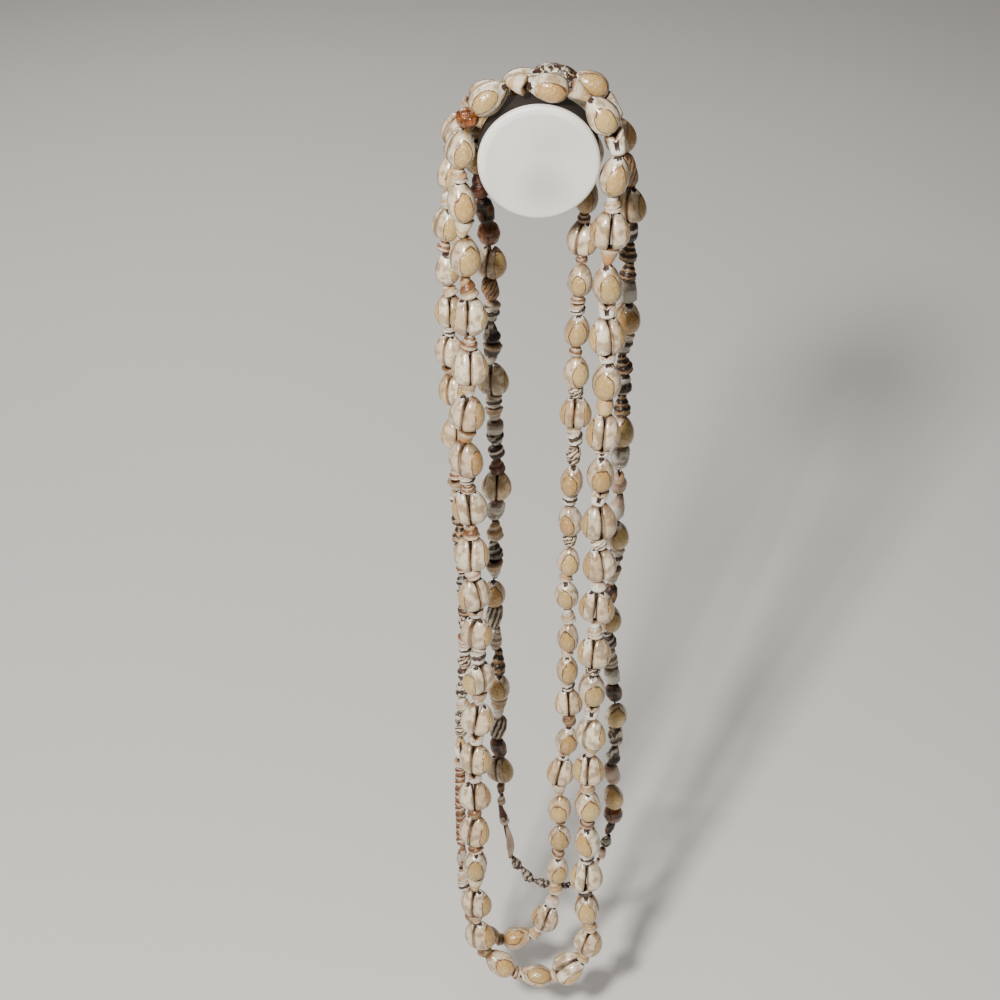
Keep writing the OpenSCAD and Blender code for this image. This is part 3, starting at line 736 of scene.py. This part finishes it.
def shapeCowries(loop, looks, rng, grid):
    # place = middle + along (part - 1/2) length + side (across width + lean) + out (up height + lift)
    s = cowrieSpread
    cluster, second, middle, along, side, out = cowriePlaces(loop)
    count = len(cluster)
    size = np.array(loop["size"]) * np.stack([rng.uniform(*span, count) for span in s["sizes"]], -1)
    part = grid[None, :, 0]
    lean = rng.uniform(-s["lean"], s["lean"], count)[:, None]
    # the bellies of a pair part a little towards its lower end, or in some clusters its upper one
    first, last = looks["apartAbove"]
    above = ((cluster >= first) & (cluster < last))[:, None]
    toEnd = np.where(above, 1.0 - part, part)
    opened = [rng.uniform(*s[key], (count, 1)) for key in ("openAbove", "openBelow")]
    angle = np.where(above, *opened)
    angle = np.where(np.isin(cluster, looks["forked"])[:, None], s["forked"], angle)
    lift = s["lift"] + toEnd * loop["size"][0] * np.tan(np.radians(angle))
    # the two of a pair lean the same way, a few degrees to the side and a few outwards
    askew = rng.normal(0.0, looks["askew"], (len(loop["chart"]), 2)).clip(-s["mostAskew"], s["mostAskew"])
    askew = np.tan(np.radians(askew[cluster] * np.where(second, -1.0, 1.0)[:, None]))
    fromMiddle = (part - 0.5) * size[:, 0:1]
    across = grid[None, :, 1] * size[:, 1:2] + lean * np.sin(np.pi * part) + fromMiddle * askew[:, 0:1]
    up = grid[None, :, 2] * size[:, 2:3] + lift + fromMiddle * askew[:, 1:2]
    verts = middle[:, None, :] + along[:, None, :] * fromMiddle[..., None] \
        + side[:, None, :] * across[..., None] + out[:, None, :] * up[..., None]
    return verts, side, out


def placeHoles(side, out, looks, rng):
    # a hole sits near the upper end, on the side of the back that is nearest to the front; that of a shell
    # without one is far away
    h = cowrieHole
    count = len(side)
    face = np.arctan2(-side[:, 1], -out[:, 1])
    face = np.clip(face + rng.normal(0.0, h["jitter"], count), -h["mostTurn"], h["mostTurn"])
    facing = np.abs(face) < h["frontTurn"]
    part = rng.uniform(*h["along"], count)
    bite = np.where(facing, rng.uniform(*h["frontBite"], count), rng.uniform(*h["sideBite"], count))
    girth = np.interp(part, h["girthAt"], h["girth"])
    up = (h["backLow"] + (1.0 - h["backLow"]) * np.cos(face)) * girth * ownSize[2]
    up = up + h["tipUp"] * (1.0 - girth) ** 2
    hole = np.stack([part * ownSize[0], ownSize[1] / 2 * girth * np.sin(face), up], -1)
    plain = rng.uniform(size=count) < np.where(facing, looks["plain"], h["sidePlain"])
    hole[plain, 2] += h["farAway"]
    return hole, bite[:, None]


def makeCowries(name, loop, node, seed, looks):
    rng = np.random.default_rng(seed)
    grid, rings, around = cowrieGrid()
    verts, side, out = shapeCowries(loop, looks, rng, grid)
    count = len(verts)
    own = np.broadcast_to(grid * np.array(ownSize), verts.shape)
    hole, bite = placeHoles(side, out, looks, rng)
    away = np.linalg.norm(own - hole[:, None, :], axis=-1)
    inward = np.clip(1.0 - away / (bite * cowrieHole["reach"]), 0.0, 1.0)
    verts = verts - out[:, None, :] * (inward * bite * cowrieHole["dent"])[..., None]
    s = cowrieSpread
    patch = np.stack([rng.uniform(*s["patchMiddle"], count),
                      rng.normal(0.0, s["patchTurn"], count).clip(-s["mostPatchTurn"], s["mostPatchTurn"]),
                      rng.uniform(*looks["patch"], count)], -1)
    look = np.stack([rng.uniform(*looks["warm"], count), rng.beta(1.0, 3.0, count),
                     rng.uniform(0.0, 1.0, count)], -1)
    quads, fans = cowrieFaces(rings, around)
    if enclosed(verts[0], quads) + enclosed(verts[0], fans) < 0:
        quads, fans = quads[:, ::-1], fans[:, ::-1]
    base = (np.arange(count) * len(grid))[:, None, None]
    attributes = {"own": own.reshape(-1, 3)}
    for key, values in (("patch", patch), ("look", look), ("hole", hole), ("bite", bite)):
        attributes[key] = np.repeat(values, len(grid), axis=0)
    faces = [(quads + base).reshape(-1, 4), (fans + base).reshape(-1, 3)]
    obj = buildMesh(name, verts.reshape(-1, 3), faces, cowrieMaterial, attributes)
    settle(obj, "cowrie", node)
    print(name, count, "shells")


# plain: share of the shells without a hole; patch: size of the patch; apartAbove: first cluster that parts
# at its upper end, and the first after them; warm: warmth of the flank; askew: spread of the lean in
# degrees; forked: clusters that part the widest
makeCowries("frontCowries", frontLoop, "front_cowries", 11,
            {"plain": 0.2, "patch": (0.84, 1.12), "apartAbove": (7, 18), "warm": (0.0, 0.6),
             "askew": 2.4, "forked": (23, 26, 33, 35, 41)})
makeCowries("leftCowries", leftLoop, "left_cowries", 12,
            {"plain": 0.3, "patch": (0.8, 1.15), "apartAbove": (0, 0), "warm": (0.1, 0.85),
             "askew": 2.0, "forked": ()})
makeCowries("rightCowries", rightLoop, "right_cowries", 13,
            {"plain": 0.3, "patch": (0.9, 1.3), "apartAbove": (0, 0), "warm": (0.1, 0.85),
             "askew": 2.0, "forked": ()})


# small shells between the cowries
outlines = {
    "barrel": [(0, 0.55), (0.14, 0.86), (0.5, 1.0), (0.86, 0.86), (1, 0.55)],
    "cone": [(0, 0.36), (0.12, 0.5), (0.72, 1.0), (0.9, 0.92), (1, 0.6)],
    "ball": [(0, 0.4), (0.2, 0.85), (0.5, 1.0), (0.8, 0.85), (1, 0.4)],
    "cup": [(0, 0.8), (0.1, 1.0), (0.3, 0.98), (0.65, 0.72), (1, 0.38)],
    "plate": [(0, 0.62), (0.1, 0.98), (0.35, 1.0), (0.7, 0.86), (0.92, 0.78), (1, 0.5)],
    "spindle": [(0, 0.28), (0.2, 0.55), (0.5, 0.92), (0.7, 1.0), (0.88, 0.7), (1, 0.3)],
    "disc": [(0, 0.5), (0.12, 0.92), (0.5, 1.0), (0.88, 0.92), (1, 0.5)],
}
# seam is how deep the whorls' seams are; bands, slant, wobble and cover are those of the dark tone
smallColumns = ("outline", "whorls", "seam", "light", "dark", "bands", "slant", "wobble", "cover")
smallChart = {
    "tanSnail": ("cone", 3, 0.3, "cream", "tan", 3, 1, 0.3, -0.1, {"lip": 0.12, "notches": 5}),
    "brownSnail": ("cone", 3, 0.32, "tan", "brown", 3, 1, 0.3, -0.2, {"lip": 0.16, "notches": 7}),
    "paleSnail": ("cone", 3, 0.28, "white", "tan", 3, 1, 0.3, 0.55, {"lip": 0.1}),
    "oliveSnail": ("ball", 2, 0.2, "olive", "brown", 2, 1, 0.8, 0.3, {}),
    "darkSnail": ("cone", 4, 0.3, "grey", "black", 4, 1, 0.3, -0.3, {}),
    "redSnail": ("cone", 3, 0.25, "brown", "redBrown", 3, 1, 0.6, -0.3, {}),
    "spottedSnail": ("ball", 2, 0.25, "cream", "dark", 5, 6, 1.6, 0.2, {}),
    "dotted": ("ball", 2, 0.25, "white", "brown", 4, 5, 0.5, 0.6, {"lip": 0.12}),
    "netted": ("ball", 2, 0.15, "tan", "brown", 6, 9, 1.2, 0.1, {}),
    "squiggle": ("ball", 0, 0, "cream", "dark", 3, 4, 2.6, -0.65, {}),
    "ringed": ("cone", 4, 0.26, "cream", "brown", 4, 0, 0.3, 0.15, {"turns": 0}),
    "striped": ("barrel", 3, 0.22, "white", "dark", 3, 1, 0.7, -0.05, {"turns": 0, "lip": 0.08}),
    "banded": ("cone", 4, 0.2, "tan", "dark", 4, 0, 0.9, -0.25, {"turns": 0}),
    "darkBand": ("barrel", 2, 0.2, "white", "dark", 2, 0, 0.3, -0.45, {"turns": 0}),
    "checked": ("barrel", 2, 0.2, "cream", "dark", 3, 2, 2.2, -0.1, {}),
    "darkRidge": ("cone", 2, 0.2, "white", "black", 1, 2, 0.6, -0.3, {"turns": 0, "slot": 0.3}),
    "ridged": ("cup", 2, 0.15, "white", "black", 2, 2, 0.8, -0.1, {}),
    "ribbed": ("barrel", 0, 0, "cream", "dark", 1, 9, 0.6, 0, {"ribs": 9}),
    "toothed": ("cup", 2, 0.15, "white", "dark", 1, 0, 0.5, -0.3, {"lip": 0.2, "notches": 8}),
    "darkHoled": ("ball", 0, 0, "brown", "dark", 2, 1, 1.2, -0.3, {"slot": 0.45}),
    "cup": ("cup", 2, 0.12, "white", "tan", 1, 0, 0.4, 0.35, {"lip": 0.14}),
    "orangeCup": ("cup", 0, 0, "orange", "tan", 1, 0, 0.9, 0.2, {"lip": 0.12}),
    "notched": ("cup", 0, 0, "cream", "tan", 2, 0, 0.9, 0.4, {"lip": 0.16, "notches": 5, "ears": 0.14}),
    "eared": ("plate", 0, 0, "white", "tan", 1, 0, 1.6, 0.7, {"flat": 0.35, "ears": 0.55}),
    "slotted": ("plate", 0, 0, "white", "tan", 1, 0, 1.6, 0.7,
                {"flat": 0.3, "ears": 0.4, "slot": 0.5, "slotWide": 0.36}),
    "holed": ("plate", 0, 0, "white", "tan", 1, 0, 1.6, 0.7, {"flat": 0.4, "ears": 0.2, "slot": 0.5}),
    "pinkBarrel": ("barrel", 2, 0.14, "pink", "cream", 2, 1, 0.8, 0.2, {}),
    "pinkConch": ("spindle", 3, 0.2, "pink", "tan", 2, 1, 0.8, 0.5, {"ears": 0.2}),
    "yellowBead": ("ball", 0, 0, "yellow", "tan", 1, 0, 1.2, 0.3, {}),
    "whiteCone": ("spindle", 0, 0, "white", "pink", 1, 0, 0.8, 0.6, {}),
    "whiteRing": ("disc", 0, 0, "white", "grey", 1, 0, 0.5, 0.6, {}),
    "paleLump": ("ball", 2, 0.1, "grey", "white", 2, 2, 2.2, 0, {"scale": 1.1}),
    "twig": ("spindle", 5, 0.2, "white", "tan", 5, 0, 0.3, 0.4, {"scale": 0.8}),
    "lens": ("spindle", 0, 0, "white", "tan", 1, 0, 0.8, 0.4, {"flat": 0.3, "slot": 0.55}),
    "stack": ("disc", 2, 0.3, "cream", "brown", 2, 0, 0.5, 0, {"turns": 0, "scale": 0.82}),
    "greySpindle": ("spindle", 0, 0, "grey", "brown", 2, 1, 1.5, 0.3, {"scale": 0.85}),
    "dottedCone": ("cone", 0, 0, "white", "redBrown", 1, 0, 0.7, -0.75, {"lip": 0.22, "notches": 12}),
    "longPink": ("spindle", 0, 0, "pink", "cream", 2, 1, 0.9, 0.3, {"bow": 0.5, "scale": 0.9}),
    "silverTwist": ("spindle", 4, 0.35, "grey", "dark", 3, 2, 1.8, 0.1, {"scale": 1.25}),
    "amber": ("ball", 0, 0, "cream", "tan", 0, 0, 0.3, 0.9, {"scale": 1.25}),
}
plainKind = {"turns": 1, "flat": 0.0, "ears": 0.0, "slot": 0.0, "slotWide": 0.3, "lip": 0.0, "notches": 0,
             "ribs": 0, "bow": 0.0, "scale": 1.0}
smallKinds = {name: {**plainKind, **dict(zip(smallColumns, row)), **row[-1]}
              for name, row in smallChart.items()}
bitKinds = ["paleSnail", "ringed", "cup", "tanSnail", "striped", "oliveSnail"]
smallShape = {
    "rows": 19, "boreRows": 3, "around": 20, "nest": 1.3, "air": 0.1, "tilt": 9.0, "mostTilt": 16.0,
    "sizes": (0.94, 1.02), "bitSizes": (0.8, 1.0), "shades": (0.88, 1.08), "bandStretch": 1.16,
    "whorlPower": 0.6, "rib": 0.08, "lipAt": 0.1, "coneLipAt": 0.86, "lipWide": 0.09, "most": 1.12,
    "wall": 0.25, "uneven": 0.02, "slotTurn": 0.38, "slotAt": 0.55, "slotLong": 0.2, "pitLong": 0.27,
    "creaseFrom": 0.34, "creaseLong": 0.12, "creaseShade": (0.496, 0.592, 0.688), "noPit": 4.0, "endPit": 1.6,
    "crowding": 0.45, "lobes": 3.0, "mostPhase": 6.28, "rimSpread": 1.4,
}


def eased(points, t):
    # radius between the named points, eased from one to the next
    p = np.array(points, dtype=float)
    k = np.clip(np.searchsorted(p[:, 0], t, side="right") - 1, 0, len(p) - 2)
    f = (t - p[k, 0]) / (p[k + 1, 0] - p[k, 0])
    f = 0.5 * f + 0.5 * (1.0 - np.cos(np.pi * f)) / 2.0
    return p[k, 1] + (p[k + 1, 1] - p[k, 1]) * f


def smallShell(name, a, b, radius, rng, toneAndShade):
    # radius = outline x whorl bulges x ribs, with a lip, a slot and ears, round the line from a to b
    s = smallShape
    k = smallKinds[rng.choice(bitKinds) if name == "bit" else name]
    if name == "bit":
        k = {**k, "scale": rng.uniform(*s["bitSizes"])}
    if b[2] > a[2]:
        a, b = b, a
    length = np.linalg.norm(b - a)
    axis = (b - a) / length
    side = np.cross(axis, toBack)
    radius = radius * k["scale"] * rng.uniform(*s["sizes"])
    even = np.linspace(0.0, 1.0, s["rows"])
    # rows crowd a little towards both ends
    t = s["crowding"] * (0.5 - 0.5 * np.cos(np.pi * even)) + (1.0 - s["crowding"]) * even
    rows = len(t)
    tt = t[:, None]
    aa = (2.0 * np.pi * np.arange(s["around"]) / s["around"])[None, :]
    r = np.broadcast_to(eased(outlines[k["outline"]], t)[:, None], (rows, s["around"])).copy()
    # how deep in a seam or at an end each point is, for painted shade there
    creaseShade = np.clip((np.abs(tt - 0.5) - s["creaseFrom"]) / s["creaseLong"], 0.0, 1.0) * np.ones_like(r)
    if k["whorls"]:
        bulge = np.pi * (k["whorls"] * tt + k["turns"] * aa / (2.0 * np.pi))
        bulge = np.abs(np.sin(bulge)) ** s["whorlPower"]
        r *= 1.0 - k["seam"] + k["seam"] * bulge
        creaseShade = np.maximum(creaseShade, 1.0 - bulge)
    if k["ribs"]:
        r *= 1.0 - s["rib"] + s["rib"] * np.cos(k["ribs"] * aa)
    lipAt = s["coneLipAt"] if k["outline"] == "cone" else s["lipAt"]
    lipZone = np.exp(-((tt - lipAt) / s["lipWide"]) ** 2)
    r = r + lipZone * k["lip"] * (0.5 + 0.5 * np.cos(k["notches"] * aa))
    # the slot looks to the front
    fromFront = aa - 1.5 * np.pi
    slot = np.exp(-(fromFront / s["slotTurn"]) ** 2) * np.exp(-((tt - s["slotAt"]) / s["slotLong"]) ** 4)
    r = np.clip(r * (1.0 - k["slot"] * slot), 0.0, s["most"])
    r = np.maximum(r * radius, drill + s["wall"])
    phase = rng.uniform(0, s["mostPhase"])
    r *= 1.0 + s["uneven"] * np.sin(s["lobes"] * aa + phase) * np.sin(np.pi * tt)
    r = np.vstack([r, np.full((s["boreRows"], s["around"]), drill)])
    z = np.vstack([tt, np.linspace(1.0, 0.0, s["boreRows"])[:, None]])
    z = z + k["ears"] * (1.0 - z) ** 2 * (1.0 - np.abs(np.cos(aa)))
    bow = k["bow"] * radius * np.sin(np.pi * np.clip(z, 0, 1))
    # each one sits a few degrees askew on the thread
    lean = np.radians(rng.normal(0.0, s["tilt"], 2).clip(-s["mostTilt"], s["mostTilt"]))
    axis = unit(axis + side * lean[0] + toBack * lean[1])
    side = unit(np.cross(axis, toBack))
    depth = np.cross(side, axis)
    points = (a + b) / 2 + axis * ((z - 0.5) * length)[..., None] \
        + side * (r * np.cos(aa) + bow)[..., None] + depth * (r * np.sin(aa) * (1.0 - k["flat"]))[..., None]
    # the light and the dark tone, each creamy at the lip and with painted shade in the seams and at the
    # ends
    # the right loop's shells are darkened here, partly for their own darker tone and partly as painted
    # shade of the rear strand
    shade = rng.uniform(*s["shades"]) * toneAndShade
    rim = np.zeros(z.shape + (1,))
    rim[:rows, :, 0] = np.clip(lipZone * s["rimSpread"], 0.0, 1.0) if k["lip"] else 0.0
    tones = []
    for colour in (colours[k["light"]], colours[k["dark"]]):
        made = np.broadcast_to(np.array(colour) * [shade, shade, shade, 1.0], z.shape + (4,)).copy()
        made += (np.array(colours["cream"]) - made) * rim
        made[:rows, :, :3] *= 1.0 - creaseShade[..., None] * np.array(s["creaseShade"])
        tones.append(made)
    # the pit is painted dark as shade where its field is below 1: in the bore, and in the slot if there is
    # one
    pit = np.zeros(z.shape + (1,))
    slotField = np.maximum(np.abs(fromFront) / k["slotWide"], np.abs(tt - 0.5) / s["pitLong"])
    pit[:rows, :, 0] = slotField if k["slot"] else s["noPit"]
    pit[[0, rows - 1]] = s["endPit"]
    # the bands are counted on the outer wall, and the bore takes its share of the grid
    pattern = np.array([k["bands"] * s["bandStretch"], k["slant"], k["wobble"]], dtype=float)
    pattern = np.broadcast_to(pattern, z.shape + (3,))
    cover = np.full(z.shape + (1,), float(k["cover"]))
    return {"points": points, "lightTone": tones[0], "darkTone": tones[1], "pattern": pattern,
            "cover": cover, "pit": pit}


def isAmber(kinds):
    return kinds == ["amber"]


def isFine(kinds):
    return kinds == ["fine"]


def isSmall(kinds):
    return not isAmber(kinds) and not isFine(kinds)


def placeSmalls(loop, wanted):
    # (kind, from, to, radius) for the small shells that wanted accepts
    found = []
    for i, row in enumerate(loop["chart"]):
        names = row[3]
        if not wanted(names):
            continue
        fine = isFine(names)
        radius = loop["fineRadius"] if fine else loop["smallRadius"]
        leave = loop["starts"][i] + loop["taken"][i]
        arrive = loop["starts"][i + 1]
        # fine shells follow the curve of the loop, others the straight line across their gap
        if fine:
            sizes = np.array([size for _, size in loop["fine"]], dtype=float)
            marks = np.concatenate([[0.0], np.cumsum(sizes)]) / sizes.sum()
            points = at(loop, leave + (arrive - leave) * marks)
            names = [name for name, _ in loop["fine"]]
        else:
            a, b = at(loop, np.array([leave, arrive]))
            points = a + (b - a) * np.linspace(0.0, 1.0, len(names) + 1)[:, None]
        # a little air between two of them; those next to cowries nest between their ends
        air = np.full(len(points), smallShape["air"])
        if isSmall(row[3]):
            air[[0, -1]] = -smallShape["nest"]
        for j, name in enumerate(names):
            way = unit(points[j + 1] - points[j])
            found.append((name, points[j] + way * air[j], points[j + 1] - way * air[j + 1], radius))
    return found


def makeSmalls(name, places, material, slotName, seed, *nodes, toneAndShade=1.0):
    rng = np.random.default_rng(seed)
    made = [smallShell(kind, a, b, radius, rng, toneAndShade) for kind, a, b, radius in places]
    stacked = {key: np.stack([shell[key] for shell in made]) for key in made[0]}
    points = stacked.pop("points")
    count, rows, cols = points.shape[:3]
    quads = gridFaces(rows, cols, True)
    corners = gridCorners(rows, cols)
    if enclosed(points[0].reshape(-1, 3), quads) < 0:
        quads = quads[:, ::-1]
        corners = corners.reshape(-1, 4, 2)[:, ::-1].reshape(-1, 2)
    base = (np.arange(count) * rows * cols)[:, None, None]
    attributes = {key: values.reshape(-1, values.shape[-1]) for key, values in stacked.items()}
    obj = buildMesh(name, points.reshape(-1, 3), [(quads + base).reshape(-1, 4)], material, attributes,
                    np.tile(corners, (count, 1)))
    settle(obj, slotName, *nodes)
    print(name, count, "small shells")


makeSmalls("frontSpacers", placeSmalls(frontLoop, isSmall), smallShellMaterial, "small_shell", 21,
           "front_spacers")
makeSmalls("leftSpacers", placeSmalls(leftLoop, isSmall), smallShellMaterial, "small_shell", 22,
           "left_spacers")
# the right loop's shells are made darker, partly for their darker tone and partly as painted shade of the
# rear strand
makeSmalls("rightShells", placeSmalls(rightLoop, isSmall), smallShellMaterial, "dark_shell", 23,
           "right_shells", toneAndShade=0.8)
makeSmalls("leftFineString", placeSmalls(leftLoop, isFine), smallShellMaterial, "small_shell", 24,
           "left_fine_string")
# the right fine string likewise, partly darker tone and partly painted shade of the rear strand
makeSmalls("rightFineString", placeSmalls(rightLoop, isFine), smallShellMaterial, "dark_shell", 25,
           "right_fine_string", toneAndShade=0.85)
makeSmalls("amberBeads", placeSmalls(frontLoop, isAmber) + placeSmalls(rightLoop, isAmber), amberMaterial,
           "amber", 26, "amber_beads")


# thread
threadShape = {"radius": 0.55, "step": 0.8, "pitch": 3.2, "around": 8, "fineStep": 18.0,
               "plyMean": 0.78, "plySwing": 0.22}


def threadLine(loop):
    # straight through each cluster and small shell, as the solids are, walked in short steps
    marks = []
    for i, row in enumerate(loop["chart"]):
        leave = loop["starts"][i] + loop["taken"][i]
        gap = loop["starts"][i + 1] - leave
        parts = math.ceil(gap / threadShape["fineStep"]) if isFine(row[3]) else 1
        marks += ([loop["starts"][i]] if row[0] else []) + [leave + gap * k / parts for k in range(parts)]
    bends = at(loop, np.array(marks))
    bends = np.vstack([bends, bends[:1]])
    run = np.concatenate([[0.0], np.cumsum(np.linalg.norm(np.diff(bends, axis=0), axis=1))])
    s = np.arange(0.0, run[-1], threadShape["step"])
    line = np.stack([np.interp(s, run, bends[:, j]) for j in range(3)], -1)
    return (np.roll(line, 1, 0) + 2.0 * line + np.roll(line, -1, 0)) / 4.0, s, run[-1]


def makeThread(name, loop, node):
    # two plies: radius x (mean + swing cos(2 x angle from the ply)), and the ply turns with the length
    line, s, whole = threadLine(loop)
    way = unit(np.roll(line, -1, 0) - np.roll(line, 1, 0))
    side = unit(np.cross(way, toBack))
    angle = 2.0 * np.pi * np.arange(threadShape["around"]) / threadShape["around"]
    turns = round(whole / threadShape["pitch"])
    ply = 2.0 * np.pi * turns * s / whole
    swell = threadShape["plyMean"] + threadShape["plySwing"] * np.cos(2.0 * (angle[None, :] - ply[:, None]))
    r = threadShape["radius"] * swell
    points = line[:, None, :] + side[:, None, :] * (r * np.cos(angle))[..., None] \
        + toBack * (r * np.sin(angle))[..., None]
    quads = gridFaces(len(line), len(angle), True)
    verts = points.reshape(-1, 3)
    if enclosed(verts, quads) < 0:
        quads = quads[:, ::-1]
    obj = buildMesh(name, verts, [quads], threadMaterial)
    settle(obj, "thread", node)
    print(name, len(line), "steps")


makeThread("frontThread", frontLoop, "front_thread")
makeThread("leftThread", leftLoop, "left_thread")
makeThread("rightThread", rightLoop, "right_thread")


# peg and floor
def dressPeg():
    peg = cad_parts["display_peg"]
    for place in peg.material_slots:
        place.material = pegMaterial


def makeFloor():
    half = floorSetup["size"] / 2
    z = float(cadLow[2]) - floorSetup["drop"]
    verts = [(-half, -half, z), (half, -half, z), (half, half, z), (-half, half, z)]
    mesh = bpy.data.meshes.new("floor")
    mesh.from_pydata(verts, [], [(0, 1, 2, 3)])
    mesh.materials.append(makeFloorMaterial())
    floor = bpy.data.objects.new("floor", mesh)
    bpy.context.collection.objects.link(floor)


dressPeg()
makeFloor()
print("peg and floor are dressed")
